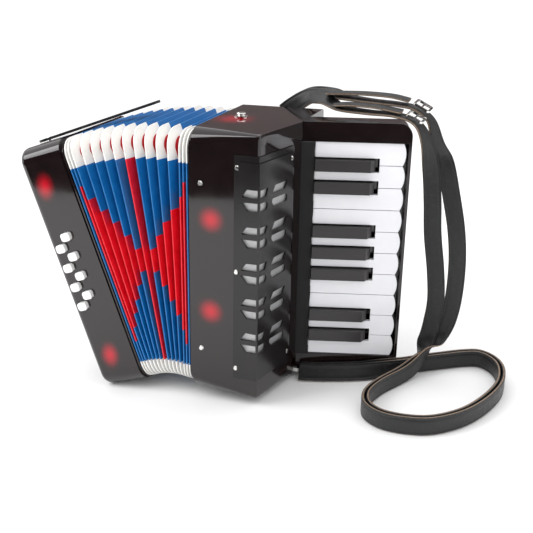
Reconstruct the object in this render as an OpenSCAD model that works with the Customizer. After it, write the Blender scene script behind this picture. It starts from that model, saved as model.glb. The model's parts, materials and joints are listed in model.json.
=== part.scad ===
// A small piano accordion for a child: a treble case with a keyboard at its side, a bass case
// with eight buttons, and a pleated bellows between them that stands fanned open at the top.
// Everything is laid out with the treble case upright, its bellows end at x = 0, its depth
// centred on y = 0 and its base at z = 0. stood() then leans the whole instrument onto the two
// corners that it really rests on, and moves it so that the floor is z = 0.

/* [Treble case] */
// Height of the treble case and of the keyboard
case_h = 270; // [264:1:276]
// Depth of both cases, front to back
case_d = 150; // [146:1:156]
// Width of the treble case's front face
front_w = 69; // [66:1:72]
// Width of the treble case over its slanted side
treble_w = 85; // [82:1:88]
// Wall thickness of both cases
wall = 3; // [2.5:0.5:3.5]
// Corner radius of the cases at the bellows
corner_r = 16; // [12:1:20]

/* [Grille] */
// Lowest point of the grille plate
grille_z = 21; // [18:1:24]
// Height of the grille plate
grille_h = 229; // [225:1:232]
// Distance between the rows of sound slots
slot_pitch = 36.5; // [34:0.5:38]
// Number of rows of sound slots
slot_rows = 5; // [3:1:5]

/* [Keyboard] */
// Width of one white key with its gap
key_pitch = 23; // [22.5:0.5:23]
// Length of a white key
key_len = 88.6; // [86:0.1:90]
// Length of a black key
black_len = 59; // [54:1:62]
// How far a black key stands above the white keys
black_rise = 7; // [5:0.5:8]
// Angle between the keyboard and the cases' front
key_angle = 17.24; // [16:0.02:18]

/* [Bellows] */
// Opening of the bellows, in degrees
fan_angle = 19.7; // [10:0.1:22]
// Thickness of the closed bellows
bellows_closed = 52; // [50:1:56]
// Thickness of one fold's card
card_t = 2.3; // [1.6:0.1:2.4]

/* [Bass case] */
// Width of the bass case
bass_w = 51; // [50:1:54]
// Height of the bass case
bass_h = 266; // [264:1:268]
// Distance between the bass buttons of one row
button_pitch = 21.45; // [21:0.05:22]
// How far the buttons stand out
button_out = 4.5; // [4:0.5:5]

/* [Straps] */
// Width of the shoulder straps
strap_w = 18; // [16:1:19]
// Thickness of the shoulder straps
strap_t = 3; // [2:0.5:3]

/* [Hidden] */
WHITE_KEYS = ["white_key_01", "white_key_02", "white_key_03", "white_key_04", "white_key_05",
    "white_key_06", "white_key_07", "white_key_08", "white_key_09", "white_key_10"];
BLACK_KEYS = ["black_key_01", "black_key_02", "black_key_03", "black_key_04", "black_key_05",
    "black_key_06", "black_key_07"];
FOLDS = ["bellows_fold_01", "bellows_fold_02", "bellows_fold_03", "bellows_fold_04",
    "bellows_fold_05", "bellows_fold_06", "bellows_fold_07", "bellows_fold_08",
    "bellows_fold_09", "bellows_fold_10", "bellows_fold_11", "bellows_fold_12",
    "bellows_fold_13", "bellows_fold_14", "bellows_fold_15"];
BUTTONS = ["bass_button_1", "bass_button_2", "bass_button_3", "bass_button_4",
    "bass_button_5", "bass_button_6", "bass_button_7", "bass_button_8"];
$fn = 32;
slit = 0.02;                      // thickness of the discs that a case's shell is drawn over
front_y = -case_d / 2;
side_end_y = -4;                  // where the slanted side meets the side wall
ridge_r = 4;                      // rounding of the case at the ridge between front and side
// The slanted side: its direction and its outward normal, in plan
slant = atan2(side_end_y - front_y, treble_w - front_w);
slant_n = [sin(slant), -cos(slant)];
// Keyboard
white_count = len(WHITE_KEYS);
key_top = (case_h + white_count * key_pitch) / 2;
key_bottom = key_top - white_count * key_pitch;
key_x = 98;
key_y = 10;
key_gap = 0.6;
key_t = 5;
black_w = 11.8;
black_slot = 14.4;
BLACK_AT = [1, 2, 4, 5, 6, 8, 9]; // the gaps between white keys that hold a black key
axle_s = -5;
axle_n = 7;
axle_r = 1.5;
tray_n = 12.4;                    // depth of the keyboard's floor under the key tops
case_back_n = 22;
case_left_s = -30;
case_right_s = 93.5;
rim_s = 90.5;
board_n = 12.4;                   // the sound board lies in line with the keyboard's floor
// Bellows
fold_count = len(FOLDS);
frame_t = 2.5;
fold_pitch = (bellows_closed - 2 * frame_t) / fold_count;
pivot_x = -34;
pivot_z = -16;
tight_gap = 0.15;                 // opening of a nearly closed fold, in degrees
tight_treble = 3;
tight_bass = 3;
wide_gap = (fan_angle - (tight_treble + tight_bass) * tight_gap)
    / (fold_count + 1 - tight_treble - tight_bass);
// Bass case
bass_lift = (case_h - bass_h) / 2;
bass_edge = 7;                    // rounding of the bass case's outer edges
row_a = 26.3;
row_b = 37;
button_top = 170;
button_w = 10.6;
button_h = 8.8;
button_r = 3;
plate_y = front_y + 14;           // front of the plate that guides the buttons' stems
// Straps
strap_in = 8;                     // where the hand strap starts, from the case's end
bracket_z = 246;
lift_angle = 1;
flap_s = 40;
flap_y = -26;
flap_len = 128;
flap_turn = 12.2;
// Standing place
stand_tilt = 4.06;
stand_x = -62.65;
stand_y = -0.952;
stand_z = 13.143;
screw_r = 2.6;
shank_r = 1.25;
shank_hole = 1.3;

// ---------------------------------------------------------------- places
module stood()
    translate([stand_x, stand_y, stand_z]) rotate([0, stand_tilt, 0]) children();

// Turns a piece by the angle a about the line that the bellows fans about
module fanned(a)
    translate([pivot_x, 0, pivot_z]) rotate([0, -a, 0]) translate([-pivot_x, 0, -pivot_z]) children();

// The bass case's own frame: its bellows end at x = 0, reaching to -bass_w
module on_bass()
    stood() fanned(fan_angle) translate([-bellows_closed, 0, bass_lift]) children();

// The keyboard's frame: x along the keys, y into the case behind them
module on_keys()
    translate([key_x, key_y, 0]) rotate([0, 0, key_angle]) children();

// The slanted side's frame: x along it from the ridge, y into the case
module on_slant()
    translate([front_w, front_y, 0]) rotate([0, 0, slant]) children();

// A flat outline in x and z, given its thickness from y0 to y1
module upright(y0, y1)
    translate([0, y1, 0]) rotate([90, 0, 0]) linear_extrude(y1 - y0) children();

// A flat outline in y and z, given its thickness from x0 to x1
module across(x0, x1)
    translate([x0, 0, 0]) rotate([90, 0, 90]) linear_extrude(x1 - x0) children();

// ---------------------------------------------------------------- shared shapes
module round_rect(x0, x1, z0, z1, r) {
    translate([x0 + r, z0]) square([x1 - x0 - 2 * r, z1 - z0]);
    translate([x0, z0 + r]) square([x1 - x0, z1 - z0 - 2 * r]);
    for (x = [x0 + r, x1 - r], z = [z0 + r, z1 - r])
        translate([x, z]) circle(r = r);
}

// Four corner discs that a hull stretches a case over
module rim(x, y0, y1, z0, z1, r)
    for (y = [y0 + r, y1 - r], z = [z0 + r, z1 - r])
        translate([x, y, z]) rotate([0, 90, 0]) cylinder(r = r, h = slit);

function ridge(t) = [front_w, front_y] + t * ([0, -1] + slant_n) / (1 - slant_n[1]);
function slant_pt(t, u) = [front_w, front_y] + t * slant_n + u * [cos(slant), sin(slant)];

// A sheet that follows the front face from x0, goes round the ridge, and ends u1 along the side
module band(t0, t1, x0, u1, z0, z1)
    translate([0, 0, z0]) linear_extrude(z1 - z0)
        polygon([[x0, front_y - t0], ridge(t0), slant_pt(t0, u1), slant_pt(t1, u1), ridge(t1),
            [x0, front_y - t1]]);

// A domed screw in an upright hole along y, its head towards -y
module screw() {
    rotate([90, 0, 0]) cylinder(r1 = screw_r, r2 = screw_r * 0.7, h = 1.2);
    rotate([-90, 0, 0]) cylinder(r = shank_r, h = 5);
}

// ---------------------------------------------------------------- treble case
CASE_SCREWS = [[10, 219], [10, 47]];
PLATE_SCREWS = [238, 135, 32];
flange_x = 45;
raised_x = 51;
flange_t = 1.2;
raised_t = 2.6;
mesh_t0 = 0.1;
mesh_t1 = 0.7;
plate_u = 60;

module screw_places() {
    for (p = CASE_SCREWS) translate([p[0], front_y, p[1]]) children();
    for (z = PLATE_SCREWS) translate([48, front_y - flange_t, z]) children();
    for (z = [PLATE_SCREWS[0], PLATE_SCREWS[2]])
        on_slant() translate([plate_u - 3, -flange_t, z]) children();
}

module shank_holes()
    screw_places() rotate([90, 0, 0]) translate([0, 0, -8]) cylinder(r = shank_hole, h = 12);

module treble_outer() hull() {
    rim(0, front_y, -front_y, 0, case_h, corner_r);
    rim(front_w - 3, front_y, 0, 0, case_h, ridge_r);
    rim(front_w - 0.6, front_y + 0.7, 0, 0, case_h, ridge_r);
    rim(slant_pt(0, 3)[0] - slit, slant_pt(0, 3)[1], 0, 0, case_h, ridge_r);
    rim(treble_w - slit, side_end_y, -front_y, 0, case_h, ridge_r);
}

module treble_inner() hull() {
    rim(wall, front_y + wall, -front_y - wall, wall, case_h - wall, corner_r - wall);
    rim(ridge(-wall)[0] - 1, front_y + wall, -front_y - wall, wall, case_h - wall, 2);
    rim(treble_w - wall - slit, side_end_y + 1, -front_y - wall, wall, case_h - wall, 2);
}

module treble_case() color([0.05, 0.045, 0.05]) stood() difference() {
    treble_outer();
    treble_inner();
    band(-wall - 2, 1, raised_x + 3, plate_u - 8, grille_z + 9, grille_z + grille_h - 9);
    translate([-1, 8, 25]) cube([wall + 2, 56, case_h - 50]);
    translate([treble_w - wall - 2, 7, key_bottom - 3])
        cube([wall + 4, 12, white_count * key_pitch + 6]);
    shank_holes();
}

module treble_soundboard() color([0.75, 0.6, 0.4]) stood() on_keys() {
    difference() {
        upright(board_n, board_n + 3) translate([-94, wall + 1]) square([77, case_h - 2 * wall - 2]);
        for (i = [1:white_count]) translate([-30, board_n + 4, key_top - (i - 0.5) * key_pitch])
            rotate([90, 0, 0]) cylinder(r = 2.5, h = 6);
        for (b = BLACK_AT) translate([-30, board_n + 4, key_top - b * key_pitch])
            rotate([90, 0, 0]) cylinder(r = 2.5, h = 6);
    }
    for (s = [-62, -50]) upright(board_n + 3, board_n + 20)
        translate([s, 25]) square([8, case_h - 50]);
}

// The sound slots of one row: two that go round the ridge, two on the slanted side
LEAN_SLOT = [[-15.5, 2.6], [-10.5, 10.2], [0.2, 10.2], [0.2, 2.6]];
D_SLOT = [[-16, -2.4], [0.2, -2.4], [0.2, -10.6], [-10, -10.6]];

module side_slots() {
    polygon([[-0.2, 10.2], [13.5, 10.2], [10, 2.6], [-0.2, 2.6]]);
    translate([-0.2, -10.6]) square([9.6, 8.2]);
    translate([8.6, -6.5]) circle(r = 4.1);
    polygon([[20, 2.6], [25.5, 10.2], [48, 10.2], [43, 2.6]]);
    polygon([[20, -5.5], [21, -2.4], [43.5, -2.4], [43.5, -10.6], [24, -10.6]]);
    translate([43.5, -6.5]) circle(r = 4.1);
}

module slots()
    for (i = [0:slot_rows - 1])
        translate([0, 0, grille_z + grille_h / 2 + (i - (slot_rows - 1) / 2) * slot_pitch]) {
            translate([front_w, 0, 0]) upright(front_y - 6, front_y + 2) polygon(LEAN_SLOT);
            translate([front_w, 0, 0]) upright(front_y - 6, front_y + 2) polygon(D_SLOT);
            on_slant() upright(-6, 2) side_slots();
        }

module grille_plate() color([0.06, 0.055, 0.06]) stood() difference() {
    union() {
        band(0, flange_t, flange_x, plate_u, grille_z, grille_z + grille_h);
        band(flange_t / 4, raised_t, raised_x, plate_u - 6, grille_z + 6, grille_z + grille_h - 6);
    }
    band(-1, mesh_t1 + 0.1, raised_x + 1, plate_u - 7, grille_z + 7, grille_z + grille_h - 7);
    slots();
    shank_holes();
}

module grille_mesh() color([0.7, 0.7, 0.7]) stood()
    band(mesh_t0, mesh_t1, raised_x + 1.2, plate_u - 7.2, grille_z + 7.2, grille_z + grille_h - 7.2);

module treble_screws() color("silver") stood() screw_places() screw();

// ---------------------------------------------------------------- keyboard
module keyboard_outline(s0) {
    r = 13;
    translate([s0, 0]) square([case_right_s - r - s0, case_h]);
    translate([s0, r]) square([case_right_s - s0, case_h - 2 * r]);
    for (z = [r, case_h - r]) translate([case_right_s - r, z]) circle(r = r);
}

module keyboard_case() color([0.06, 0.05, 0.06]) stood() difference() {
    on_keys() upright(-2, case_back_n) keyboard_outline(case_left_s);
    on_keys() upright(-3, tray_n) translate([case_left_s - 1, key_bottom])
        square([rim_s - case_left_s + 1, white_count * key_pitch]);
    on_keys() upright(tray_n + 3, case_back_n - 2.5) translate([-6, 6])
        square([rim_s + 3, case_h - 12]);
    on_keys() translate([axle_s, axle_n, 10]) cylinder(r = axle_r + 0.05, h = case_h - 20);
    translate([treble_w - 70 + 0.05, -50, -1]) cube([70, 150, case_h + 2]);
}

module key_axle() color("silver") stood() on_keys()
    translate([axle_s, axle_n, 12]) cylinder(r = axle_r, h = case_h - 24);

// A key's hinge block, its arm into the treble case and the pad that covers its sound hole
module key_root(z, block_w) translate([0, 0, z]) {
    difference() {
        translate([-9, 0.5, -block_w / 2]) cube([8.5, 11.3, block_w]);
        translate([axle_s, axle_n, -block_w]) cylinder(r = axle_r + 0.06, h = 2 * block_w);
    }
    translate([-36, 7, -1.5]) cube([27.5, 2.6, 3]);
    translate([-38, 9.6, -4.5]) cube([14, 2.5, 9]);
}

module white_key_blank(i) {
    z = key_top - (i + 0.5) * key_pitch;
    w = key_pitch - key_gap;
    r = 24;
    intersection() {
        translate([-1, z - w / 2]) square([key_len + 1, w]);
        union() {
            translate([-1, z - w]) square([key_len + 1 - r, 2 * w]);
            translate([key_len - r, z]) circle(r = r, $fn = 96);
        }
    }
}

module white_key_piece(i) color([0.95, 0.95, 0.98]) stood() on_keys() {
    upright(0, key_t) difference() {
        white_key_blank(i);
        for (b = BLACK_AT)
            translate([-2, key_top - b * key_pitch - black_slot / 2])
                square([black_len + 6, black_slot]);
    }
    key_root(key_top - (i + 0.5) * key_pitch, 7);
}

module black_key_piece(k) color([0.12, 0.12, 0.12]) stood() on_keys() {
    z = key_top - BLACK_AT[k] * key_pitch;
    translate([0, 0, z - black_w / 2]) linear_extrude(black_w)
        polygon([[-1, -black_rise], [black_len - 5, -black_rise], [black_len - 0.6, 0 - 1],
            [black_len, 0.4], [black_len, key_t], [-1, key_t]]);
    key_root(z, 8);
}

// One leaf spring under the root of each key
module leaf(z) translate([0, 0, z - 1.5]) linear_extrude(3)
    polygon([[4, tray_n - 0.8], [14, 6.4], [14.6, 6.7], [5.4, tray_n - 0.4], [5.4, tray_n - 0.05],
        [4, tray_n - 0.05]]);

module key_springs() color("goldenrod") stood() on_keys() {
    translate([2, tray_n - 0.8, key_bottom + 3]) cube([3, 0.75, white_count * key_pitch - 6]);
    for (i = [1:white_count]) leaf(key_top - (i - 0.5) * key_pitch);
    for (b = BLACK_AT) leaf(key_top - b * key_pitch);
}

module felt_strip() color([0.03, 0.03, 0.03]) stood() difference() {
    on_keys() translate([-20, -4, key_bottom]) cube([18.5, 3, white_count * key_pitch]);
    translate([treble_w - 50 + 0.05, -50, -1]) cube([50, 100, case_h + 2]);
}

// ---------------------------------------------------------------- bellows
function clamp(v, lo, hi) = max(lo, min(hi, v));
// How far fold i has turned about the fan line, counted from the treble case
function fold_angle(i) = tight_gap * min(i, tight_treble)
    + wide_gap * clamp(i - tight_treble, 0, fold_count + 1 - tight_treble - tight_bass)
    + tight_gap * max(0, i - (fold_count + 1 - tight_bass));

module fold_outline(grow) difference() {
    round_rect(front_y + 2 - grow, -front_y - 2 + grow, 2 - grow, case_h - 4 + grow, 18 + grow);
    round_rect(front_y + 20, -front_y - 20, 20, case_h - 22, 8);
}

module bellows_fold(i) color(i % 2 == 0 ? [0.1, 0.4, 0.75] : [0.85, 0.1, 0.15]) stood()
    fanned(fold_angle(i))
        translate([-frame_t - fold_pitch * (i - 0.5), 0, 0])
            across(-card_t / 2, card_t / 2) fold_outline(0);

module bellows_frame_treble() color([0.08, 0.08, 0.08]) stood()
    across(-frame_t, -0.05) fold_outline(0.5);

module bellows_frame_bass() color([0.08, 0.08, 0.08]) on_bass()
    translate([0, 0, -bass_lift]) across(0.05, frame_t) fold_outline(0.5);

// ---------------------------------------------------------------- bass case
function bass_button(k) = [-(k % 2 == 0 ? row_a : row_b), button_top - button_pitch / 2 * k];

module bass_outer() hull() {
    rim(-slit, front_y, -front_y, 0, bass_h, corner_r);
    for (a = [0:22.5:90])
        rim(-bass_w + bass_edge * (1 - sin(a)), front_y + bass_edge * (1 - cos(a)),
            -front_y - bass_edge * (1 - cos(a)), bass_edge * (1 - cos(a)),
            bass_h - bass_edge * (1 - cos(a)), corner_r - bass_edge * (1 - cos(a)));
}

module bass_inner() hull() {
    rim(1, front_y + wall, -front_y - wall, wall, bass_h - wall, corner_r - wall);
    rim(-bass_w + bass_edge, front_y + wall, -front_y - wall, wall, bass_h - wall, corner_r - wall);
    rim(-bass_w + wall, front_y + bass_edge, -front_y - bass_edge, bass_edge, bass_h - bass_edge, 7);
}

module button_shape(x, z, grow)
    round_rect(x - button_w / 2 - grow, x + button_w / 2 + grow, z - button_h / 2 - grow,
        z + button_h / 2 + grow, button_r);

module bass_case() color([0.06, 0.05, 0.06]) on_bass() difference() {
    bass_outer();
    bass_inner();
    for (k = [0:7]) upright(front_y - 1, front_y + wall + 1)
        button_shape(bass_button(k)[0], bass_button(k)[1], 0.6);
    translate([-flap_s, flap_y, bass_h - 8]) cylinder(r = shank_hole, h = 12);
    for (z = [24, bass_h - 24]) translate([-bass_w - 2, 0, z]) rotate([0, 90, 0])
        cylinder(r = shank_hole, h = 8);
}

// A plate behind the front that guides the buttons' stems, and the reeds on their board
module bass_reed_block() color([0.75, 0.6, 0.4]) on_bass() {
    difference() {
        upright(plate_y, plate_y + 2.5) translate([-bass_w + wall + 0.3, 12])
            square([bass_w - wall - 6, bass_h - 24]);
        for (k = [0:7]) translate([bass_button(k)[0], plate_y - 1, bass_button(k)[1]])
            rotate([-90, 0, 0]) cylinder(r = 2.2, h = 5);
    }
    difference() {
        across(-4.6, -1.6) round_rect(front_y + wall + 0.4, -front_y - wall - 0.4, wall + 0.4,
            bass_h - wall - 0.4, corner_r - wall - 0.5);
        translate([-8, -20, 40]) cube([10, 60, bass_h - 80]);
    }
    for (y = [-10, 8, 26]) translate([-20, y, 30]) cube([15.4, 8, bass_h - 60]);
}

module bass_button_piece(k) color([0.97, 0.97, 0.95]) on_bass() {
    p = bass_button(k);
    upright(front_y - button_out, front_y + wall + 1.4) button_shape(p[0], p[1], 0);
    upright(front_y + wall + 0.4, front_y + wall + 1.8) button_shape(p[0], p[1], 0.8);
    translate([p[0], front_y + wall + 1, p[1]]) rotate([-90, 0, 0])
        cylinder(r = 1.9, h = plate_y - front_y - wall + 1);
}

// A short coil round each stem, just clear of the button's flange when it is pressed home
module button_springs() color("goldenrod") on_bass()
    for (k = [0:7], t = [0:2])
        translate([bass_button(k)[0], plate_y - 0.65 - 1.3 * t, bass_button(k)[1]])
            rotate([90, 0, 0]) rotate_extrude() translate([3.2, 0]) circle(r = 0.5, $fn = 16);

module bass_screws() color("silver") on_bass() {
    translate([-flap_s, flap_y, bass_h + 3.4]) rotate([-90, 0, 0]) screw();
    for (z = [24, bass_h - 24]) translate([-bass_w - 3.1, 0, z]) rotate([0, 0, -90]) screw();
}

// The hand strap's line: flat tabs on the case, a bow for the hand between them
function bow(t) = let (z = 36 + t * (bass_h - 72)) [-bass_w - 1.6 - 15.5 * sin(180 * t), z];
module bass_hand_strap() color([0.08, 0.08, 0.09]) on_bass() difference() {
    upright(-22, 22) polygon(concat(
        [[-bass_w - 0.3, strap_in + 6], [-bass_w - 0.3, 34]],
        [for (i = [0:16]) bow(i / 16) + [1.2, 0]],
        [[-bass_w - 0.3, bass_h - 34], [-bass_w - 0.3, bass_h - strap_in - 6],
            [-bass_w - 2.9, bass_h - strap_in - 6], [-bass_w - 2.9, bass_h - 34]],
        [for (i = [16:-1:0]) bow(i / 16) - [1.2, 0]],
        [[-bass_w - 2.9, 34], [-bass_w - 2.9, strap_in + 6]]));
    for (z = [24, bass_h - 24]) translate([-bass_w - 6, 0, z]) rotate([0, 90, 0])
        cylinder(r = shank_hole, h = 8);
}

// The strap that holds the bellows shut: screwed to the bass case, its free end over the folds
module closing_strap() color([0.07, 0.07, 0.08]) on_bass()
    translate([-flap_s, flap_y, bass_h + 0.6]) rotate([0, 0, flap_turn]) rotate([0, -lift_angle, 0])
        difference() {
            linear_extrude(2.6) round_rect(-11, flap_len, -8, 8, 7.9);
            translate([0, 0, -1]) cylinder(r = shank_hole + 0.6, h = 5);
        }

// ---------------------------------------------------------------- straps
// Metal: the stud for the closing strap, and the two brackets that the shoulder straps hang from
module strap_fittings() color("silver") stood() {
    translate([22.5, -1.3, case_h]) rotate_extrude()
        polygon([[0, 0], [7.2, 0], [7.2, 1], [4.2, 1.4], [3.4, 2.6], [5, 3.4], [4.4, 4.3], [0, 4.6]]);
    translate([38, -front_y + 2.8, bracket_z]) bracket(26);
    translate([treble_w + 2.8, 0, 3.5]) rotate([0, 0, -90]) bracket(7);
}

module bracket(w) difference() {
    translate([-w / 2, -2.8, -2]) cube([w, 5.6, 4]);
    translate([-w / 2 + 1.6, -2.9, -3]) cube([w - 3.2, 3.6, 6]);
}

// A shoulder strap's route: the middle of the strap, and the way its width points
STRAP_A = [
    [40, 79.5, 262, 0, 0, 1], [50, 80.5, 270, 0, 0.1, 1], [68, 79.5, 281, 0, 0.5, 0.87],
    [88, 66, 282, 0, 0.9, 0.4],
    [110, 51, 277, 0, 1, 0.1], [140, 45, 276, 0, 1, 0], [168, 45, 275.5, 0, 1, 0],
    [188, 46, 269.5, 0.1, 1, 0], [199, 48, 252, 0.4, 0.9, 0], [206, 50, 222, 0.85, 0.5, 0],
    [210, 50, 190, 0.94, 0.34, 0], [213, 50, 156, 0.94, 0.34, 0], [219, 50, 118, 0.94, 0.34, 0],
    [222, 50, 86, 0.94, 0.34, 0], [220, 49, 60, 0.94, 0.3, 0.1], [217, 46, 42, 0.8, 0.2, 0.4],
    [211, 37, 26, 0.4, 0, 0.9], [203, 23, 15, 0, 0, 1], [194, 8, 11.1, 0, 0, 1],
    [181, -18, 9.8, 0, 0, 1], [174, -45, 9.4, 0, 0, 1], [180, -70, 9.8, 0, 0, 1],
    [199, -86, 11.1, 0, 0, 1], [225, -90, 13, 0, 0, 1], [250, -84, 14.7, 0, 0, 1],
    [275, -62, 16.5, 0, 0, 1], [292, -30, 17.7, 0, 0, 1], [301, 5, 18.4, 0, 0, 1],
    [299, 38, 18.2, 0, 0, 1], [288, 62, 17.4, 0, 0, 1], [270, 75, 16.2, 0, 0, 1],
    [252, 71, 14.9, 0, 0, 1], [232, 60, 13.5, 0, 0, 1], [212, 48, 12.1, 0, 0, 1],
    [195, 37, 10.8, 0, 0, 1], [176, 26, 9.4, 0, 0.3, 0.95], [150, 15, 6.6, 0, 0.6, 0.8],
    [120, 5.5, 4.5, 0, 0.6, 0.8], [98, 1, 2.9, 0, 0.6, 0.8], [92.5, 0.5, 2.5, 0, 0.6, 0.8]];
STRAP_B = [
    [40, 84.5, 262, 0, 0, 1], [50, 85, 270, 0, 0.1, 1], [68, 85, 281, 0, 0.45, 0.89],
    [88, 84, 285, 0, 0.9, 0.4],
    [110, 71, 284.5, 0, 1, 0.1], [137, 69, 283, 0, 1, 0], [165, 68, 282, 0, 1, 0],
    [184, 68, 279, 0, 1, 0], [199, 68, 268, 0.2, 1, 0], [208, 64, 246, 0.6, 0.8, 0],
    [218, 60, 228, 0.9, 0.4, 0], [227, 60, 195, 0.94, 0.34, 0], [235, 60, 160, 0.94, 0.34, 0],
    [239, 60, 126, 0.94, 0.34, 0], [239, 59, 88, 0.94, 0.34, 0], [235, 56, 60, 0.9, 0.3, 0.2],
    [227, 50, 42, 0.8, 0.2, 0.5], [218, 39, 28, 0.3, 0, 0.95], [208.5, 23, 15.5, 0, 0, 1],
    [198.8, 7, 11.4, 0, 0, 1], [185.6, -18, 10.1, 0, 0, 1], [178.8, -45, 9.8, 0, 0, 1],
    [184.2, -67.5, 10.1, 0, 0, 1], [200.6, -81.3, 11.2, 0, 0, 1], [225, -85.2, 13, 0, 0, 1],
    [248.3, -79.5, 14.6, 0, 0, 1], [271.6, -58.6, 16.2, 0, 0, 1], [287.4, -28.2, 17.4, 0, 0, 1],
    [296.2, 5.3, 18, 0, 0, 1], [294.4, 36.8, 17.9, 0, 0, 1], [284.8, 58.5, 17.2, 0, 0, 1],
    [270, 70, 16.2, 0, 0, 1], [254.3, 66.6, 15, 0, 0, 1], [234.4, 55.8, 13.6, 0, 0, 1],
    [214.5, 43.8, 12.2, 0, 0, 1], [197.4, 32.6, 11, 0, 0, 1], [178.3, 20.8, 9.5, 0, 0.3, 0.95],
    [152, 9.8, 6.7, 0, 0.6, 0.8], [121.5, 0.4, 4.6, 0, 0.6, 0.8],
    [98.5, -4, 2.9, 0, 0.6, 0.8], [92.5, -4.5, 2.5, 0, 0.6, 0.8]];
// The straps' loose tails, which point back from their buckles
TAIL_A = [[104, 44, 281, 0, 1, 0], [125, 43, 283, 0, 1, 0], [150, 43, 282.5, 0, 1, 0],
    [174, 44, 279.5, 0, 1, 0]];
TAIL_B = [[89, 66, 288, 0, 1, 0], [110, 67, 289.5, 0, 1, 0], [133, 67, 290.5, 0, 1, 0],
    [158, 67, 290, 0, 1, 0], [176, 67.5, 287, 0, 1, 0]];
ring_steps = 3;                   // rings between two points of a strap's route

// A point on a smooth curve through p, t from 0 to the last index
function at(p, i) = p[clamp(i, 0, len(p) - 1)];
function curve(p, t) = let (i = min(floor(t), len(p) - 2), f = t - i,
    a = at(p, i - 1), b = at(p, i), c = at(p, i + 1), d = at(p, i + 2))
    b + 0.5 * f * ((c - a) + f * ((2 * a - 5 * b + 4 * c - d) + f * (3 * (b - c) + d - a)));
function unit(v) = v / norm(v);
function place(q) = [q[0], q[1], q[2]];
function ring(p, t, w, h) = let (q = curve(p, t), e = 0.05,
    along = unit(place(curve(p, min(t + e, len(p) - 1))) - place(curve(p, max(t - e, 0)))),
    wide = [q[3], q[4], q[5]],
    side = unit(wide - (wide * along) * along), up = cross(along, side), c = place(q))
    [c + side * w / 2 + up * h / 2, c + side * w / 2 - up * h / 2,
        c - side * w / 2 - up * h / 2, c - side * w / 2 + up * h / 2];

// A flat strap of width w and thickness h swept along a route
module ribbon(p, w, h) {
    n = (len(p) - 1) * ring_steps;
    points = [for (i = [0:n]) each ring(p, i / ring_steps, w, h)];
    sides = [for (i = [0:n - 1], k = [0:3])
        [4 * i + k, 4 * i + (k + 1) % 4, 4 * i + 4 + (k + 1) % 4, 4 * i + 4 + k]];
    triangles = [for (q = sides) each [[q[0], q[1], q[2]], [q[0], q[2], q[3]]]];
    polyhedron(points, concat([[3, 2, 1], [3, 1, 0]], triangles,
        [[4 * n, 4 * n + 1, 4 * n + 2], [4 * n, 4 * n + 2, 4 * n + 3]]));
}

module shoulder_straps() color([0.07, 0.07, 0.08]) stood() {
    ribbon(STRAP_A, strap_w, strap_t);
    ribbon(STRAP_B, strap_w, strap_t);
    ribbon(TAIL_A, strap_w - 1, strap_t - 0.6);
    ribbon(TAIL_B, strap_w - 1, strap_t - 0.6);
}

// A wire frame with a middle bar and its pin
module buckle() {
    difference() {
        linear_extrude(2.2) round_rect(-9, 9, -12, 12, 3);
        translate([0, 0, -1]) linear_extrude(5) round_rect(-6.8, 6.8, -9.8, 9.8, 1.5);
    }
    translate([-1, -10.5, 0.2]) cube([1.8, 21, 1.8]);
    translate([-0.2, -0.9, 2]) rotate([0, -4, 0]) cube([9.6, 1.8, 1.6]);
}

module strap_buckles() color("silver") stood() {
    translate([187.5, 45.8, 274.3]) rotate([0, 24, 0]) buckle();
    translate([189.5, 68, 281.4]) rotate([0, 26, 0]) buckle();
}

// ---------------------------------------------------------------- assembly
treble_case();
treble_soundboard();
grille_plate();
grille_mesh();
treble_screws();
keyboard_case();
key_axle();
key_springs();
felt_strip();
bellows_frame_treble();
bellows_frame_bass();
bass_case();
bass_reed_block();
bass_screws();
button_springs();
bass_hand_strap();
closing_strap();
strap_fittings();
shoulder_straps();
strap_buckles();
for (i = [0:white_count - 1]) white_key_piece(i);
for (k = [0:len(BLACK_KEYS) - 1]) black_key_piece(k);
for (i = [1:fold_count]) bellows_fold(i);
for (k = [0:len(BUTTONS) - 1]) bass_button_piece(k);
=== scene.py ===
"""A small piano accordion with straps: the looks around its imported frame.

Shapes are drawn in millimetres in the treble case's own upright frame: x = 0 at its bellows end,
y centred on the case and z = 0 at its base. STOOD takes them to the row frame, in metres.
"""
import json
import math

import bmesh
import bpy
import numpy as np
from mathutils import Matrix, Vector


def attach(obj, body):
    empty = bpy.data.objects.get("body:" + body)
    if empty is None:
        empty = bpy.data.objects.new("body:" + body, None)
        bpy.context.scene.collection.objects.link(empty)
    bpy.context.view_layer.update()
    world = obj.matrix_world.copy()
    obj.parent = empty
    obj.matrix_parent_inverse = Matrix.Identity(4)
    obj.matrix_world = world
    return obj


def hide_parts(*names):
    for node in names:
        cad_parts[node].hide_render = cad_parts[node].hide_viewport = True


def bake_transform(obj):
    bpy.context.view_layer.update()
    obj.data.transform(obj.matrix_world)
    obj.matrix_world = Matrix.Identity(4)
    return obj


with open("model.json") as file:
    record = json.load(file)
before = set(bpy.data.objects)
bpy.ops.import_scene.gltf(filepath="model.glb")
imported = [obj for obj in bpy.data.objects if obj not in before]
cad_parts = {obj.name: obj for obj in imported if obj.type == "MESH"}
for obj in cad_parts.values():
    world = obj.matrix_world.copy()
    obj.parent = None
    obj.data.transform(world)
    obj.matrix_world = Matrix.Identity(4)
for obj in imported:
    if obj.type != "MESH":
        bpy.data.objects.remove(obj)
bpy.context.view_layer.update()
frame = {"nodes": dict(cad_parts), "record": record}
NODES = frame["nodes"]
BODY_OF = {n: b for b, ns in frame["record"]["behaviour"]["bodies"].items() for n in ns}

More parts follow.
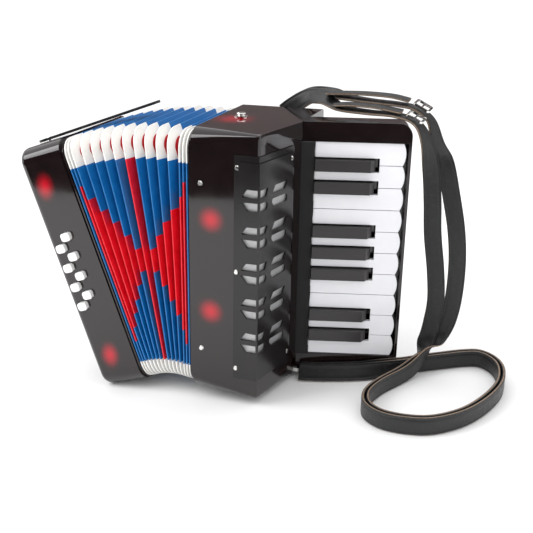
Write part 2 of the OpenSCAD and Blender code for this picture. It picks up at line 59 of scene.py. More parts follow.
# ---------------------------------------------------------------- places
MM = 0.001
LEAN = math.radians(4.06)
SHIFT = Vector((-62.65, -0.952, 13.143)) * MM
STOOD = Matrix.Translation(SHIFT) @ Matrix.Rotation(LEAN, 4, "Y") @ Matrix.Scale(MM, 4)
FAN = 19.7  # opening of the bellows, in degrees
PIVOT = Vector((-34, 0, -16))  # the line that the bellows fans about
BELLOWS_T = 52
BASS_W = 51
BASS_H = 266
BASS_LIFT = 2


def fanned(angle):
    """Turns a place about the bellows' fan line."""
    turn = Matrix.Rotation(-math.radians(angle), 4, "Y")
    return Matrix.Translation(PIVOT) @ turn @ Matrix.Translation(-PIVOT)


ON_BASS = STOOD @ fanned(FAN) @ Matrix.Translation((-BELLOWS_T, 0, BASS_LIFT))


# ---------------------------------------------------------------- camera
VIEW_TURN = math.radians(19.68)
VIEW_DOWN = math.radians(20.64)
VIEW_ROLL = math.radians(1.1)
EYE = Vector((348.9, -831.4, 447.5))
LENS = 61.08
SENSOR = 36


def add_camera():
    """Places the camera in the treble frame and stands it with the object."""
    forward = Vector((-math.sin(VIEW_TURN) * math.cos(VIEW_DOWN),
                      math.cos(VIEW_TURN) * math.cos(VIEW_DOWN), -math.sin(VIEW_DOWN)))
    level = forward.cross(Vector((0, 0, 1))).normalized()
    above = level.cross(forward)
    right = level * math.cos(VIEW_ROLL) + above * math.sin(VIEW_ROLL)
    up = above * math.cos(VIEW_ROLL) - level * math.sin(VIEW_ROLL)
    turn = Matrix((right, up, -forward)).transposed().to_4x4()
    data = bpy.data.cameras.new("camera")
    data.lens = LENS
    data.sensor_width = SENSOR
    camera = bpy.data.objects.new("camera", data)
    bpy.context.scene.collection.objects.link(camera)
    camera.matrix_world = (Matrix.Translation(STOOD @ EYE)
                           @ Matrix.Rotation(LEAN, 4, "Y") @ turn)
    bpy.context.scene.camera = camera


# ---------------------------------------------------------------- materials
def new_material(name, colour, roughness, metallic=0.0, coat=0.0, coat_roughness=0.05):
    """A Principled material with its uniform values on the shader's own sockets."""
    material = bpy.data.materials.new(name)
    material.use_nodes = True
    shader = material.node_tree.nodes["Principled BSDF"]
    shader.inputs["Base Color"].default_value = (*colour, 1)
    shader.inputs["Roughness"].default_value = roughness
    shader.inputs["Metallic"].default_value = metallic
    shader.inputs["Coat Weight"].default_value = coat
    shader.inputs["Coat Roughness"].default_value = coat_roughness
    return material


def node(material, kind, **values):
    """Adds a node and sets its attributes."""
    made = material.node_tree.nodes.new(kind)
    for key, value in values.items():
        setattr(made, key, value)
    return made


def link(material, out, into):
    """Joins one node's output to another's input."""
    material.node_tree.links.new(out, into)


def shader_of(material):
    """The material's Principled shader."""
    return material.node_tree.nodes["Principled BSDF"]


def object_place(material):
    """The point in the row frame at rest, in metres."""
    return node(material, "ShaderNodeTexCoord").outputs["Object"]


def noise(material, scale, detail=3.0, stretch=None):
    """A noise value at a scale in features a metre, drawn out along an axis if asked."""
    made = node(material, "ShaderNodeTexNoise")
    made.inputs["Scale"].default_value = scale
    made.inputs["Detail"].default_value = detail
    place = object_place(material)
    if stretch:
        mapping = node(material, "ShaderNodeMapping")
        mapping.inputs["Scale"].default_value = stretch
        link(material, place, mapping.inputs["Vector"])
        place = mapping.outputs["Vector"]
    link(material, place, made.inputs["Vector"])
    return made.outputs["Fac"]


def spread(material, value, low, high, start=0.3, end=0.7):
    """Maps a value from start..end to low..high."""
    made = node(material, "ShaderNodeMapRange")
    made.inputs["From Min"].default_value = start
    made.inputs["From Max"].default_value = end
    made.inputs["To Min"].default_value = low
    made.inputs["To Max"].default_value = high
    link(material, value, made.inputs["Value"])
    return made.outputs["Result"]


def mixed(material, factor, first, second):
    """A colour between two, each of them a colour or another node's output."""
    made = node(material, "ShaderNodeMix", data_type="RGBA")
    link(material, factor, made.inputs["Factor"])
    for socket, colour in ((made.inputs[6], first), (made.inputs[7], second)):
        if isinstance(colour, tuple):
            socket.default_value = (*colour, 1)
        else:
            link(material, colour, socket)
    return made.outputs[2]


def bump(material, height, distance, strength=1.0):
    """Bumps the surface by a height times a distance in metres."""
    made = node(material, "ShaderNodeBump")
    made.inputs["Distance"].default_value = distance
    made.inputs["Strength"].default_value = strength
    link(material, height, made.inputs["Height"])
    link(material, made.outputs["Normal"], shader_of(material).inputs["Normal"])


def vary(material, scale, rough_low, rough_high, first, second, detail=3.0):
    """Lets colour and roughness drift over the surface."""
    value = noise(material, scale, detail)
    link(material, spread(material, value, rough_low, rough_high),
         shader_of(material).inputs["Roughness"])
    colour = mixed(material, spread(material, value, 0, 1), first, second)
    link(material, colour, shader_of(material).inputs["Base Color"])
    return colour


PAINTED_RED_GLOW = (0.46, 0.003, 0.014)
GLOW_FALL = 1.5  # how fast a spot of painted red glow fades towards its edge


def paint_red_glow(material, colour, spots):
    """Paints soft spots of red glow, painted light, over a colour; a spot is a place, its radii and
    its strength.
    """
    for place, radii, strength in spots:
        near = node(material, "ShaderNodeMapping", vector_type="TEXTURE")
        near.inputs["Location"].default_value = place
        near.inputs["Rotation"].default_value = (0, LEAN, 0)
        near.inputs["Scale"].default_value = [r * MM for r in radii]
        link(material, object_place(material), near.inputs["Vector"])
        length = node(material, "ShaderNodeVectorMath", operation="LENGTH")
        link(material, near.outputs["Vector"], length.inputs[0])
        near_middle = node(material, "ShaderNodeMapRange", interpolation_type="SMOOTHSTEP")
        near_middle.inputs["From Max"].default_value = 1
        near_middle.inputs["To Min"].default_value = strength
        near_middle.inputs["To Max"].default_value = 0
        link(material, length.outputs["Value"], near_middle.inputs["Value"])
        fade = node(material, "ShaderNodeMath", operation="POWER")
        link(material, near_middle.outputs["Result"], fade.inputs[0])
        fade.inputs[1].default_value = GLOW_FALL
        # painted red glow mixed into the case's own colour
        colour = mixed(material, fade.outputs["Value"], colour, PAINTED_RED_GLOW)
    link(material, colour, shader_of(material).inputs["Base Color"])


def gloss_black(name, spots=()):
    """Polished black moulding with a faint orange peel, dust-fine scuffs and spots of painted red
    glow.
    """
    material = new_material(name, (0.008, 0.0045, 0.005), 0.07, coat=0.35)
    colour = vary(material, 40, 0.05, 0.09, (0.007, 0.004, 0.0042), (0.011, 0.006, 0.0065))
    paint_red_glow(material, colour, spots)
    bump(material, noise(material, 90, 2), 0.00006, 0.12)
    return material


def satin_black(name, base=0.03, rough=0.38):
    """Semi-matt black moulding with a fine spark-eroded grain."""
    material = new_material(name, (base,) * 3, rough)
    vary(material, 60, rough - 0.02, rough + 0.03, (base, base * 0.85, base * 0.87),
         (base * 1.25, base * 1.05, base * 1.07))
    bump(material, noise(material, 2600, 4), 0.00005, 0.3)
    return material


def ivory_plastic(name, first, second, rough):
    """Glossy white plastic, a little uneven in colour and polish."""
    material = new_material(name, first, rough, coat=0.35)
    vary(material, 90, rough - 0.02, rough + 0.03, first, second)
    bump(material, noise(material, 420, 2), 0.00002, 0.15)
    return material


def bellows_card(name, first, second, rough=0.42):
    """Coated paper cloth: a fine linen grain under a thin lacquer, rubbed here and there."""
    material = new_material(name, first, rough, coat=0.15, coat_roughness=0.3)
    vary(material, 130, rough - 0.08, rough + 0.1, first, second)
    grain = noise(material, 2200, 3, stretch=(1, 1, 0.25))
    cross = noise(material, 2200, 3, stretch=(0.3, 0.3, 1))
    both = node(material, "ShaderNodeMath", operation="ADD")
    link(material, grain, both.inputs[0])
    link(material, cross, both.inputs[1])
    bump(material, both.outputs["Value"], 0.00012, 0.5)
    return material


def leather(name):
    """Coated black leather: creased pebble grain with painted shade darkening the creases, and
    paler rubbed high spots.
    """
    material = new_material(name, (0.02, 0.02, 0.022), 0.42, coat=0.12, coat_roughness=0.3)
    cells = node(material, "ShaderNodeTexVoronoi", feature="DISTANCE_TO_EDGE")
    cells.inputs["Scale"].default_value = 900
    link(material, object_place(material), cells.inputs["Vector"])
    creases = spread(material, cells.outputs["Distance"], 0, 1, 0.0, 0.25)
    wrinkles = noise(material, 260, 5)
    height = node(material, "ShaderNodeMath", operation="MULTIPLY_ADD")
    link(material, wrinkles, height.inputs[0])
    height.inputs[1].default_value = 1.6
    link(material, creases, height.inputs[2])
    bump(material, height.outputs["Value"], 0.00018, 0.6)
    # painted shade: darker along the creases
    tone = mixed(material, creases, (0.005, 0.005, 0.0055), (0.012, 0.012, 0.013))
    rubbed = mixed(material, spread(material, wrinkles, 0, 0.5, 0.5, 0.75), tone,
                   (0.03, 0.03, 0.032))
    link(material, rubbed, shader_of(material).inputs["Base Color"])
    link(material, spread(material, wrinkles, 0.34, 0.55), shader_of(material).inputs["Roughness"])
    return material


def cut_edge(name):
    """The strap's cut edge: brown fibre with dark dye soaked in."""
    material = new_material(name, (0.2, 0.13, 0.085), 0.8)
    fibres = noise(material, 1500, 6)
    colour = mixed(material, spread(material, fibres, 0, 1, 0.35, 0.65),
                   (0.09, 0.06, 0.045), (0.34, 0.25, 0.18))
    link(material, colour, shader_of(material).inputs["Base Color"])
    bump(material, fibres, 0.0002, 0.7)
    return material


def thread(name, colour):
    """Twisted sewing thread."""
    material = new_material(name, colour, 0.6)
    twist = noise(material, 4000, 2)
    link(material, mixed(material, twist, tuple(c * 0.6 for c in colour), colour),
         shader_of(material).inputs["Base Color"])
    bump(material, twist, 0.0001, 0.6)
    return material


def plated(name, colour, rough):
    """Plated metal with fine wiping marks and a few dull patches."""
    material = new_material(name, colour, rough, metallic=1.0)
    value = noise(material, 300, 4, stretch=(1, 1, 6))
    link(material, spread(material, value, rough * 0.6, rough * 1.8),
         shader_of(material).inputs["Roughness"])
    link(material, mixed(material, noise(material, 120), tuple(c * 0.86 for c in colour), colour),
         shader_of(material).inputs["Base Color"])
    bump(material, noise(material, 1200, 2), 0.00003, 0.3)
    return material


def felt(name):
    """Black felt with a soft nap."""
    material = new_material(name, (0.006, 0.006, 0.006), 0.95)
    shader_of(material).inputs["Sheen Weight"].default_value = 0.3
    fluff = noise(material, 1800, 6)
    link(material, mixed(material, fluff, (0.003, 0.003, 0.003), (0.014, 0.014, 0.014)),
         shader_of(material).inputs["Base Color"])
    bump(material, fluff, 0.0004, 0.8)
    return material


WIRE_WAVES = 260  # waves a metre, times the texture's own factor


def woven_mesh(name):
    """Fine silver wire cloth: wires over and under each other, with painted shade between them."""
    material = new_material(name, (0.8, 0.8, 0.8), 0.3, metallic=0.9)
    waves = []
    for direction in ("Z", "DIAGONAL"):
        wave = node(material, "ShaderNodeTexWave", bands_direction=direction)
        wave.inputs["Scale"].default_value = WIRE_WAVES
        wave.inputs["Distortion"].default_value = 0.3
        link(material, object_place(material), wave.inputs["Vector"])
        waves.append(wave.outputs["Fac"])
    wires = node(material, "ShaderNodeMath", operation="MAXIMUM")
    link(material, waves[0], wires.inputs[0])
    link(material, waves[1], wires.inputs[1])
    # painted shade in the gaps between the wires
    colour = mixed(material, spread(material, wires.outputs["Value"], 0, 1, 0.3, 0.75),
                   (0.10, 0.10, 0.10), (0.92, 0.92, 0.93))
    link(material, colour, shader_of(material).inputs["Base Color"])
    bump(material, wires.outputs["Value"], 0.0003, 0.8)
    return material


def plywood(name):
    """Pale birch with drawn-out grain."""
    material = new_material(name, (0.5, 0.36, 0.22), 0.6)
    grain = noise(material, 260, 5, stretch=(1, 1, 0.06))
    link(material, mixed(material, grain, (0.36, 0.24, 0.13), (0.66, 0.5, 0.33)),
         shader_of(material).inputs["Base Color"])
    bump(material, grain, 0.0002, 0.4)
    return material


# ---------------------------------------------------------------- shared mesh work
def finish_mesh(name, mesh, materials, sharp=35):
    """Makes an object of a mesh, smooth except over its sharp edges."""
    for material in materials:
        mesh.materials.append(material)
    mesh.validate()
    mesh.shade_smooth()
    mesh.set_sharp_from_angle(angle=math.radians(sharp))
    made = bpy.data.objects.new(name, mesh)
    bpy.context.scene.collection.objects.link(made)
    return made


def mesh_object(name, points, faces, slots, materials, place, sharp=35):
    """An object of points in a millimetre frame and faces, each face with its material's slot."""
    mesh = bpy.data.meshes.new(name)
    mesh.from_pydata([place @ Vector(p) for p in points], [], faces)
    mesh.polygons.foreach_set("material_index", slots)
    return finish_mesh(name, mesh, materials, sharp)


def softened(name, width, material, segments=2, limit=30, sharp=35):
    """A copy of a CAD node with its edges rounded over, standing for that node."""
    shape = bmesh.new()
    shape.from_mesh(NODES[name].data)
    bmesh.ops.remove_doubles(shape, verts=shape.verts, dist=0.01 * MM)
    bmesh.ops.dissolve_limit(shape, angle_limit=math.radians(1), verts=shape.verts,
                             edges=shape.edges)
    mesh = bpy.data.meshes.new(name + "_soft")
    shape.to_mesh(mesh)
    shape.free()
    made = finish_mesh(name + "_soft", mesh, [material], sharp)
    rounding = made.modifiers.new("rounding", "BEVEL")
    rounding.width = width * MM
    rounding.segments = segments
    rounding.limit_method = "ANGLE"
    rounding.angle_limit = math.radians(limit)
    evened = made.modifiers.new("evened", "WEIGHTED_NORMAL")
    evened.keep_sharp = True
    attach(made, BODY_OF[name])
    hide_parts(name)
    return made


def dress(name, material):
    """Gives a CAD node its material."""
    data = NODES[name].data
    data.materials.clear()
    data.materials.append(material)


# ---------------------------------------------------------------- bellows
FOLDS = 15
FRAME_T = 2.5
FOLD_PITCH = (BELLOWS_T - 2 * FRAME_T) / FOLDS
TIGHT_GAP = 0.15
TIGHT_TREBLE = 3
TIGHT_BASS = 3
WIDE_FOLDS = FOLDS + 1 - TIGHT_TREBLE - TIGHT_BASS
WIDE_GAP = (FAN - (TIGHT_TREBLE + TIGHT_BASS) * TIGHT_GAP) / WIDE_FOLDS
RIDGE_Y = 73
RIDGE_LOW = 2
RIDGE_HIGH = 266
RIDGE_R = 18
PLEAT_DEPTH = 15
VALLEY_R = 4
CORNER_STEPS = 6
CREST = 0.55  # half the width of a fold's folded edge
MIDDLE_FOLD = 8
BAND_Z = 132
BAND_HEIGHTS = {1: 24, 2: 53, 3: 83, 4: 111, 5: 140, 6: 170}
CORNER_HIGH = 12  # how far a white corner reaches past an upper bend
CORNER_LOW = 4  # and past a lower one, on the upright sides
CARD_DEPTH = 0.84  # share of the pleat that the coloured card covers
CORNER_DEPTH = 0.6
BLUE, RED, WHITE, INNER = range(4)

# The white corners' reach at both ends of the four sides: below, behind, above and in front
CORNER_REACH = ((CORNER_HIGH, CORNER_HIGH), (CORNER_LOW, CORNER_HIGH),
                (CORNER_HIGH, CORNER_HIGH), (CORNER_HIGH, CORNER_LOW))


def fold_angle(i):
    """How far the bellows has turned at fold i; between two folds at a half."""
    wide = min(max(i - TIGHT_TREBLE, 0), WIDE_FOLDS)
    return (TIGHT_GAP * min(i, TIGHT_TREBLE) + WIDE_GAP * wide
            + TIGHT_GAP * max(0, i - (FOLDS + 1 - TIGHT_BASS)))


def band_of(i):
    """The lowest and highest point of fold i's red band, or None."""
    away = abs(i - MIDDLE_FOLD)
    if away == 0:
        return (RIDGE_LOW + RIDGE_R + CORNER_LOW, RIDGE_HIGH - RIDGE_R - CORNER_HIGH)
    if away not in BAND_HEIGHTS:
        return None
    return (BAND_Z - BAND_HEIGHTS[away] / 2, BAND_Z + BAND_HEIGHTS[away] / 2)


def outline(i):
    """Fold i's outline as stations: ridge point, valley point, card's depth, next face's colour."""
    y, r, low, high = RIDGE_Y, RIDGE_R, RIDGE_LOW, RIDGE_HIGH
    band = band_of(i)
    corners = [(-y + r, low + r), (y - r, low + r), (y - r, high - r), (-y + r, high - r)]
    starts = [180, 270, 0, 90]
    inner = PLEAT_DEPTH + VALLEY_R
    inner_corners = [(-y + inner, low + inner), (y - inner, low + inner),
                     (y - inner, high - inner), (-y + inner, high - inner)]
    stations = []
    for k in range(4):
        for step in range(CORNER_STEPS):
            angle = math.radians(starts[k] + 90 * step / CORNER_STEPS)
            reach = Vector((math.cos(angle), math.sin(angle)))
            ridge = Vector(corners[k]) + r * reach
            valley = Vector(inner_corners[k]) + VALLEY_R * reach
            stations.append((ridge, valley, CORNER_DEPTH, WHITE))
        end = math.radians(starts[k] + 90)
        reach = Vector((math.cos(end), math.sin(end)))
        a = Vector(corners[k]) + r * reach
        b = Vector(corners[(k + 1) % 4]) + r * reach
        upright = k in (1, 3)
        first, last = CORNER_REACH[k]
        cuts = [first]
        colours = [WHITE, RED if i == MIDDLE_FOLD and upright else BLUE]
        if upright and band and i != MIDDLE_FOLD:
            cuts += sorted(abs(z - a[1]) for z in band)
            colours += [RED, BLUE]
        cuts.append((b - a).length - last)
        colours.append(WHITE)
        for place, colour in zip([0, *cuts], colours):
            ridge = a + (b - a).normalized() * place
            valley = ridge - PLEAT_DEPTH * reach
            axis = 1 if upright else 0
            valley[axis] = min(max(valley[axis], inner_corners[0][axis]), inner_corners[2][axis])
            depth = CORNER_DEPTH if place == 0 else CARD_DEPTH
            stations.append((ridge, valley, depth, colour))
    return stations


def bellows_skin(materials):
    """The pleated skin: one strip of faces a fold, each edge turned by its share of the fan."""
    points, turns, faces, slots = [], [], [], []
    for i in range(1, FOLDS + 1):
        left_turn = fold_angle(i + 0.5) if i < FOLDS else FAN
        right_turn = fold_angle(i - 0.5) if i > 1 else 0
        left_x = -(FRAME_T + FOLD_PITCH * i)
        ridge_x = left_x + FOLD_PITCH / 2
        right_x = left_x + FOLD_PITCH
        first = len(points)
        stations = outline(i)
        for ridge, valley, depth, _ in stations:
            left = Vector((left_x, *valley, left_turn))
            right = Vector((right_x, *valley, right_turn))
            crest_left = Vector((ridge_x - CREST, *ridge, fold_angle(i)))
            crest_right = Vector((ridge_x + CREST, *ridge, fold_angle(i)))
            across = (left, crest_left.lerp(left, depth), crest_left,
                      crest_right, crest_right.lerp(right, depth), right)
            for p in across:
                points.append(fanned(p[3]) @ p.to_3d())
                turns.append(p[3])
        for s in range(len(stations)):
            here = first + 6 * s
            after = first + 6 * ((s + 1) % len(stations))
            for strip in range(5):
                faces.append((here + strip, after + strip, after + strip + 1, here + strip + 1))
                slots.append(stations[s][3] if 0 < strip < 4 else INNER)
    skin = mesh_object("bellows_skin", points, faces, slots, materials, STOOD, sharp=50)
    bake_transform(skin)
    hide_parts(*[f"bellows_fold_{i:02d}" for i in range(1, FOLDS + 1)])


# ---------------------------------------------------------------- straps
STRAP_W = 18
STRAP_T = 3
HAND_W = 44
HAND_T = 2.4
HAND_OFF = 1.6  # from the bass case's face to the middle of the hand strap's ends
HAND_BOW = 15.5  # how far the hand strap stands out at its middle
ROUTE_A = (
    (40, 79.5, 262, 0, 0, 1), (50, 80.5, 270, 0, 0.1, 1), (68, 79.5, 281, 0, 0.5, 0.87),
    (88, 66, 282, 0, 0.9, 0.4), (110, 51, 277, 0, 1, 0.1), (140, 45, 276, 0, 1, 0),
    (168, 45, 275.5, 0, 1, 0), (188, 46, 269.5, 0.1, 1, 0), (199, 48, 252, 0.4, 0.9, 0),
    (206, 50, 222, 0.85, 0.5, 0), (210, 50, 190, 0.94, 0.34, 0), (213, 50, 156, 0.94, 0.34, 0),
    (219, 50, 118, 0.94, 0.34, 0), (222, 50, 86, 0.94, 0.34, 0), (220, 49, 60, 0.94, 0.3, 0.1),
    (217, 46, 42, 0.8, 0.2, 0.4), (211, 37, 26, 0.4, 0, 0.9), (203, 23, 15, 0, 0, 1),
    (194, 8, 11.1, 0, 0, 1), (181, -18, 9.8, 0, 0, 1), (174, -45, 9.4, 0, 0, 1),
    (180, -70, 9.8, 0, 0, 1), (199, -86, 11.1, 0, 0, 1), (225, -90, 13, 0, 0, 1),
    (250, -84, 14.7, 0, 0, 1), (275, -62, 16.5, 0, 0, 1), (292, -30, 17.7, 0, 0, 1),
    (301, 5, 18.4, 0, 0, 1), (299, 38, 18.2, 0, 0, 1), (288, 62, 17.4, 0, 0, 1),
    (270, 75, 16.2, 0, 0, 1), (252, 71, 14.9, 0, 0, 1), (232, 60, 13.5, 0, 0, 1),
    (212, 48, 12.1, 0, 0, 1), (195, 37, 10.8, 0, 0, 1), (176, 26, 9.4, 0, 0.3, 0.95),
    (150, 15, 6.6, 0, 0.6, 0.8), (120, 5.5, 4.5, 0, 0.6, 0.8), (98, 1, 2.9, 0, 0.6, 0.8),
    (92.5, 0.5, 2.5, 0, 0.6, 0.8))
ROUTE_B = (
    (40, 84.5, 262, 0, 0, 1), (50, 85, 270, 0, 0.1, 1), (68, 85, 281, 0, 0.45, 0.89),
    (88, 84, 285, 0, 0.9, 0.4), (110, 71, 284.5, 0, 1, 0.1), (137, 69, 283, 0, 1, 0),
    (165, 68, 282, 0, 1, 0), (184, 68, 279, 0, 1, 0), (199, 68, 268, 0.2, 1, 0),
    (208, 64, 246, 0.6, 0.8, 0), (218, 60, 228, 0.9, 0.4, 0), (227, 60, 195, 0.94, 0.34, 0),
    (235, 60, 160, 0.94, 0.34, 0), (239, 60, 126, 0.94, 0.34, 0), (239, 59, 88, 0.94, 0.34, 0),
    (235, 56, 60, 0.9, 0.3, 0.2), (227, 50, 42, 0.8, 0.2, 0.5), (218, 39, 28, 0.3, 0, 0.95),
    (208.5, 23, 15.5, 0, 0, 1), (198.8, 7, 11.4, 0, 0, 1), (185.6, -18, 10.1, 0, 0, 1),
    (178.8, -45, 9.8, 0, 0, 1), (184.2, -67.5, 10.1, 0, 0, 1), (200.6, -81.3, 11.2, 0, 0, 1),
    (225, -85.2, 13, 0, 0, 1), (248.3, -79.5, 14.6, 0, 0, 1), (271.6, -58.6, 16.2, 0, 0, 1),
    (287.4, -28.2, 17.4, 0, 0, 1), (296.2, 5.3, 18, 0, 0, 1), (294.4, 36.8, 17.9, 0, 0, 1),
    (284.8, 58.5, 17.2, 0, 0, 1), (270, 70, 16.2, 0, 0, 1), (254.3, 66.6, 15, 0, 0, 1),
    (234.4, 55.8, 13.6, 0, 0, 1), (214.5, 43.8, 12.2, 0, 0, 1), (197.4, 32.6, 11, 0, 0, 1),
    (178.3, 20.8, 9.5, 0, 0.3, 0.95), (152, 9.8, 6.7, 0, 0.6, 0.8), (121.5, 0.4, 4.6, 0, 0.6, 0.8),
    (98.5, -4, 2.9, 0, 0.6, 0.8), (92.5, -4.5, 2.5, 0, 0.6, 0.8))
TAIL_A = ((104, 44, 281, 0, 1, 0), (125, 43, 283, 0, 1, 0), (150, 43, 282.5, 0, 1, 0),
          (174, 44, 279.5, 0, 1, 0))
TAIL_B = ((89, 66, 288, 0, 1, 0), (110, 67, 289.5, 0, 1, 0), (133, 67, 290.5, 0, 1, 0),
          (158, 67, 290, 0, 1, 0), (176, 67.5, 287, 0, 1, 0))
GRAIN, EDGE, STITCH = range(3)
RING_GAP = 2.2
STITCH_GAP = 3.1
STITCH_LEN = 2.1
STITCH_IN = 2.4  # from the strap's edge to its row of stitches


def route_point(route, t):
    """A point on a smooth curve through the route, t from 0 to the last index."""
    last = len(route) - 1
    i = min(int(t), last - 1)
    f = t - i
    a, b, c, d = (np.array(route[min(max(k, 0), last)], float) for k in range(i - 1, i + 3))
    return b + 0.5 * f * ((c - a) + f * ((2 * a - 5 * b + 4 * c - d) + f * (3 * (b - c) + d - a)))


def walk(route, gap):
    """Frames (middle, along, side, up) at even steps of about gap along a route, and its length."""
    ts = np.linspace(0, len(route) - 1, 60 * len(route))
    line = np.array([route_point(route, t)[:3] for t in ts])
    reached = np.concatenate(([0], np.cumsum(np.linalg.norm(np.diff(line, axis=0), axis=1))))
    steps = max(int(round(reached[-1] / gap)), 2)
    frames = []
    for s in np.linspace(0, reached[-1], steps + 1):
        t = float(np.interp(s, reached, ts))
        at = route_point(route, t)
        ahead = route_point(route, min(t + 0.05, len(route) - 1))[:3]
        behind = route_point(route, max(t - 0.05, 0))[:3]
        along = Vector(ahead - behind).normalized()
        wide = Vector(at[3:])
        side = (wide - wide.dot(along) * along).normalized()
        frames.append((Vector(at[:3]), along, side, along.cross(side)))
    return frames, reached[-1]


def strap_profile(w, h):
    """The strap's section: crowned faces with a stitching groove, and square cut edges."""
    u, v = w / 2, h / 2
    top = [(-u, 0.5 * v), (-u + 0.5, 0.92 * v), (-u + STITCH_IN - 0.5, v),
           (-u + STITCH_IN, v - 0.28), (-u + STITCH_IN + 0.5, v), (-u / 3, v),
           (u / 3, v), (u - STITCH_IN - 0.5, v), (u - STITCH_IN, v - 0.28),
           (u - STITCH_IN + 0.5, v), (u - 0.5, 0.92 * v), (u, 0.5 * v)]
    return top + [(-a, -b) for a, b in top]


def add_strap(name, route, w, h, materials, place=STOOD, tip=0.0, stitched=True):
    """A stitched strap along a route; tip is how far its first end narrows to a point."""
    frames, length = walk(route, RING_GAP)
    profile = strap_profile(w, h)
    n = len(profile)
    points, faces, slots = [], [], []
    for k, (middle, _, side, up) in enumerate(frames):
        reach = k * length / (len(frames) - 1)
        narrow = 1.0 if reach >= tip else 0.35 + 0.65 * math.sqrt(1 - (1 - reach / tip) ** 2)
        points += [middle + side * (a * narrow) + up * b for a, b in profile]
    for k in range(len(frames) - 1):
        for j in range(n):
            a, b = n * k + j, n * k + (j + 1) % n
            faces.append((a, b, b + n, a + n))
            slots.append(EDGE if j in (n // 2 - 1, n - 1) else GRAIN)
    faces.append(tuple(range(n - 1, -1, -1)))
    faces.append(tuple(range(n * (len(frames) - 1), n * len(frames))))
    slots += [EDGE, EDGE]
    if stitched:
        add_stitches(points, faces, slots, route, w, h, tip)
    return mesh_object(name, points, faces, slots, materials, place, sharp=40), length


def add_stitches(points, faces, slots, route, w, h, tip):
    """Rows of sewn thread along both edges, on both faces."""
    frames, length = walk(route, STITCH_GAP)
    for k, (middle, along, side, up) in enumerate(frames[1:-1], 1):
        if k * STITCH_GAP < tip:
            continue
        for edge in (-1, 1):
            for face in (-1, 1):
                seat = middle + side * edge * (w / 2 - STITCH_IN) + up * face * (h / 2 - 0.16)
                start = len(points)
                for reach, size in ((-0.5, 0.45), (0, 1), (0.5, 0.45)):
                    centre = seat + along * STITCH_LEN * reach
                    for a, b in ((-1, 0), (0, 1), (1, 0), (0, -1)):
                        points.append(centre + side * a * 0.34 * size + up * b * 0.3 * size)
                for ring in (0, 4):
                    for j in range(4):
                        a, b = start + ring + j, start + ring + (j + 1) % 4
                        faces.append((a, a + 4, b + 4, b))
                        slots.append(STITCH)
                faces.append((start, start + 1, start + 2, start + 3))
                faces.append((start + 11, start + 10, start + 9, start + 8))
                slots += [STITCH, STITCH]


def add_straps(strap_leather, edge, stitch):
    """The two shoulder straps with their tails, and the hand strap."""
    layers = [strap_leather, edge, stitch]
    for name, route in (("shoulder_strap_a", ROUTE_A), ("shoulder_strap_b", ROUTE_B)):
        strap, length = add_strap(name, route, STRAP_W, STRAP_T, layers)
        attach(strap, "treble")
        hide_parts("shoulder_straps")
        print(name, "length", round(length, 1), "mm")
    for name, route in (("strap_tail_a", TAIL_A), ("strap_tail_b", TAIL_B)):
        tail, length = add_strap(name, route, STRAP_W - 1, STRAP_T - 0.6, layers, tip=7)
        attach(tail, "treble")
        print(name, "length", round(length, 1), "mm")
    flat_x = -BASS_W - HAND_OFF
    bow = [(flat_x, 0, 14, 0, 1, 0), (flat_x, 0, 34, 0, 1, 0)]
    for k in range(9):
        share = k / 8
        out = HAND_BOW * math.sin(math.pi * share)
        bow.append((flat_x - out, 0, 38 + share * (BASS_H - 76), 0, 1, 0))
    bow += [(flat_x, 0, BASS_H - 34, 0, 1, 0), (flat_x, 0, BASS_H - 14, 0, 1, 0)]
    hand, length = add_strap("hand_strap", bow, HAND_W, HAND_T, layers, place=ON_BASS)
    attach(hand, "bass")
    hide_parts("bass_hand_strap")
    print("hand strap length", round(length, 1), "mm")


# ---------------------------------------------------------------- the object
looks = {
    "case": gloss_black("case_gloss"),
    "plate": satin_black("grille_satin", 0.009, 0.16),
    "mesh": woven_mesh("woven_mesh"),
    "wood": plywood("birch"),
    "metal": plated("chrome", (0.83, 0.82, 0.8), 0.14),
    "spring": plated("spring_brass", (0.75, 0.55, 0.28), 0.25),
    "felt": felt("black_felt"),
    "white": ivory_plastic("white_key_gloss", (0.83, 0.83, 0.865), (0.85, 0.85, 0.88), 0.22),
    "black": satin_black("black_key_satin", 0.02, 0.3),
    "button": ivory_plastic("button_gloss", (0.84, 0.84, 0.83), (0.9, 0.9, 0.89), 0.25),
}


def spot(place, point, radii, strength):
    """A spot of painted red glow in the row frame, from a point in a millimetre frame."""
    return (place @ Vector(point), radii, strength)


# Spots of painted red glow on the treble and bass cases' black
looks["treble"] = gloss_black("treble_gloss", [
    spot(STOOD, (21, -75, 184), (18, 9, 18), 1.0),
    spot(STOOD, (20.5, -75, 89), (18, 9, 18), 1.0),
    spot(STOOD, (20, -14, 270), (30, 34, 8), 0.8)])
looks["bass"] = gloss_black("bass_gloss", [
    spot(STOOD, (-161.6, -75, 196), (15, 9, 20), 1.0),
    spot(STOOD, (-95.7, -75, 19.4), (15, 9, 20), 1.0)])
for name, look in (("treble_soundboard", "wood"),
                   ("grille_mesh", "mesh"), ("treble_screws", "metal"), ("key_axle", "metal"),
                   ("key_springs", "spring"), ("felt_strip", "felt"),
                   ("bellows_frame_treble", "case"), ("bellows_frame_bass", "case"),
                   ("bass_reed_block", "wood"), ("bass_screws", "metal"),
                   ("button_springs", "spring"), ("strap_fittings", "metal")):
    dress(name, looks[look])

add_camera()
blue = bellows_card("bellows_blue", (0.002, 0.125, 0.37), (0.004, 0.155, 0.43))
red = bellows_card("bellows_red", (0.66, 0.003, 0.014), (0.78, 0.006, 0.022))
white = bellows_card("bellows_white", (0.80, 0.79, 0.76), (0.87, 0.86, 0.84), 0.36)
inner = bellows_card("bellows_lining", (0.42, 0.004, 0.010), (0.55, 0.006, 0.014), 0.6)
bellows_skin([blue, red, white, inner])
strap_leather = leather("strap_leather")
add_straps(strap_leather, cut_edge("strap_edge"), thread("strap_thread", (0.05, 0.05, 0.052)))
dress("closing_strap", strap_leather)

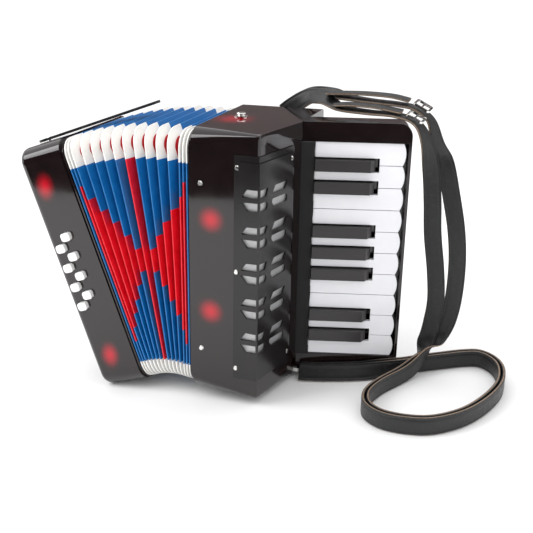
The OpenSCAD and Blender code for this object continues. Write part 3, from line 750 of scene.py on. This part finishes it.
softened("treble_case", 1.0, looks["treble"], limit=50, sharp=50)
softened("bass_case", 1.0, looks["bass"], limit=50, sharp=50)
softened("keyboard_case", 1.2, looks["case"], limit=50, sharp=50)
softened("grille_plate", 0.35, looks["plate"])
softened("strap_buckles", 0.5, looks["metal"], segments=3)
for i in range(1, 11):
    softened(f"white_key_{i:02d}", 0.7, looks["white"], segments=3)
for i in range(1, 8):
    softened(f"black_key_{i:02d}", 0.8, looks["black"], segments=3)
for i in range(1, 9):
    softened(f"bass_button_{i}", 0.9, looks["button"], segments=3)


# ---------------------------------------------------------------- floor and light
FLOOR_HALF = 9  # metres
STUDIO_STRENGTH = 1.12
CARD_HALF = 6  # metres
FRONT_EDGE = -0.82  # where the dark card on the floor starts, in front of the instrument
FRONT_WALL = -3
BACK_WALL = 3


def add_light(name, place, aim, width, height, power):
    """A white area lamp at a place in metres, facing an aim."""
    data = bpy.data.lights.new(name, "AREA")
    data.shape = "RECTANGLE"
    data.size = width
    data.size_y = height
    data.energy = power
    lamp = bpy.data.objects.new(name, data)
    bpy.context.scene.collection.objects.link(lamp)
    lamp.location = place
    lamp.rotation_euler = (Vector(aim) - Vector(place)).to_track_quat("-Z", "Y").to_euler()


def add_floor():
    """The white paper that the instrument stands on."""
    half = FLOOR_HALF
    floor = bpy.data.meshes.new("floor")
    floor.from_pydata([(-half, -half, 0), (half, -half, 0), (half, half, 0), (-half, half, 0)],
                      [], [(0, 1, 2, 3)])
    pale = new_material("floor_paper", (0.93, 0.93, 0.93), 0.75)
    vary(pale, 3, 0.7, 0.8, (0.925, 0.925, 0.93), (0.935, 0.935, 0.935))
    shader_of(pale).inputs["Specular IOR Level"].default_value = 0.1
    floor.materials.append(pale)
    made = bpy.data.objects.new("floor", floor)
    bpy.context.scene.collection.objects.link(made)


def add_world():
    """An even white studio all round."""
    world = bpy.data.worlds.new("studio")
    bpy.context.scene.world = world
    world.use_nodes = True
    back = world.node_tree.nodes["Background"]
    back.inputs["Color"].default_value = (1, 1, 1, 1)
    back.inputs["Strength"].default_value = STUDIO_STRENGTH


def add_dark_card(name, corners, tone=0.0):
    """A dark card that only reflections see, as a photographer flags a polished surface."""
    mesh = bpy.data.meshes.new(name)
    mesh.from_pydata(corners, [], [(0, 1, 2, 3)])
    mesh.materials.append(new_material(name, (tone, tone * 0.8, tone * 0.8), 1.0))
    card = bpy.data.objects.new(name, mesh)
    bpy.context.scene.collection.objects.link(card)
    card.visible_camera = False
    card.visible_diffuse = False
    card.visible_shadow = False
    card.visible_transmission = False


add_floor()
add_world()
half = CARD_HALF
add_dark_card("front_card", [(-half, FRONT_EDGE, 0.002), (half, FRONT_EDGE, 0.002),
                             (half, -half, 0.002), (-half, -half, 0.002)])
add_dark_card("front_wall", [(-half, FRONT_WALL, 0), (half, FRONT_WALL, 0),
                             (half, FRONT_WALL, 4), (-half, FRONT_WALL, 4)])
add_dark_card("back_wall", [(-half, BACK_WALL, 0), (half, BACK_WALL, 0),
                            (half, BACK_WALL, 1.7), (-half, BACK_WALL, 1.7)], 0.16)
add_light("window", (-1.1, -0.7, 1.2), (0, 0, 0.12), 1.0, 1.0, 14)
add_light("top", (0.2, 0.5, 1.6), (0, 0, 0.1), 1.4, 1.0, 6)
bpy.context.scene.view_settings.view_transform = "Standard"
